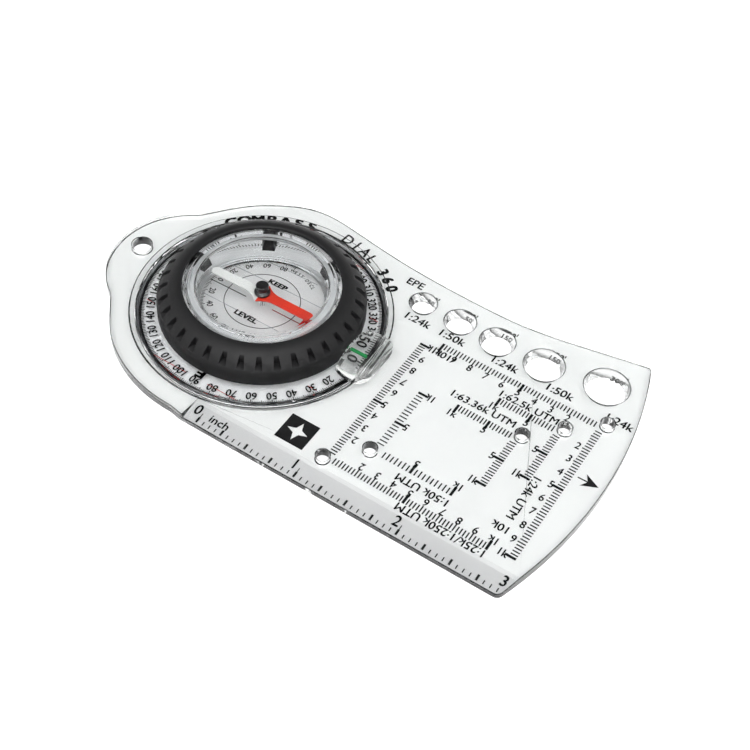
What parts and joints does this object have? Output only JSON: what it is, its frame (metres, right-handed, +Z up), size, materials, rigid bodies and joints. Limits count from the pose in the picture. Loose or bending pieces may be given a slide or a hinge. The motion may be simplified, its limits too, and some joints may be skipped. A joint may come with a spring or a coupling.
{
  "type": "baseplate compass",
  "caption": "Clear baseplate compass with a bevelled ruler edge, map scales, a turning dial with a rubber grip, an adjustable liquid capsule and a red and white needle.",
  "frame": {"origin": "middle of the compass's own box, on the underside of the plate", "axes": "+Z up out of the dial, +Y the direction of travel, +X towards the ruler edge"},
  "size_m": [0.0724, 0.129, 0.0108],
  "materials": {
    "clear_acrylic": "polished clear acrylic",
    "frosted_ring": "clear, slightly blue, with black graduations under it",
    "grip_rubber": "matt moulded elastomer",
    "pad_rubber": "satin black elastomer",
    "seal": "translucent silicone",
    "green_index": "gloss green",
    "spring_steel": "drawn wire",
    "needle_paint": "red north half and white south half",
    "black_plastic": "satin black",
    "magnet": "plated magnet",
    "jewel": "polished synthetic ruby"
  },
  "bodies": {
    "plate": {"baseplate": "clear_acrylic", "snap_ring": "spring_steel", "readout_lens": "clear_acrylic", "index_line": "green_index"},
    "dial": {"azimuth_ring": "frosted_ring", "grip_ring": "grip_rubber", "friction_pad_1": "pad_rubber", "friction_pad_2": "pad_rubber", "friction_pad_3": "pad_rubber", "friction_pad_4": "pad_rubber", "friction_pad_5": "pad_rubber", "friction_pad_6": "pad_rubber"},
    "capsule": {"capsule_base": "clear_acrylic", "capsule_seal": "seal", "capsule_cover": "clear_acrylic", "pivot_pin": "spring_steel"},
    "needle": {"needle_blade": "needle_paint", "needle_hub": "black_plastic", "needle_magnet": "magnet", "hub_cap": "black_plastic", "jewel_bearing": "jewel"}
  },
  "joints": [
    {"name": "dial_turn", "type": "hinge", "parent": "plate", "child": "dial", "pos_m": [0.00058, -0.02425, 0.0025], "axis": [0, 0, 1], "continuous": true},
    {"name": "declination_adjust", "type": "hinge", "parent": "dial", "child": "capsule", "pos_m": [0.00058, -0.02425, 0.005], "axis": [0, 0, 1], "range_deg": [-90, 90]},
    {"name": "needle_swing", "type": "hinge", "parent": "capsule", "child": "needle", "pos_m": [0.00058, -0.02425, 0.00715], "axis": [0, 0, 1], "continuous": true}
  ]
}
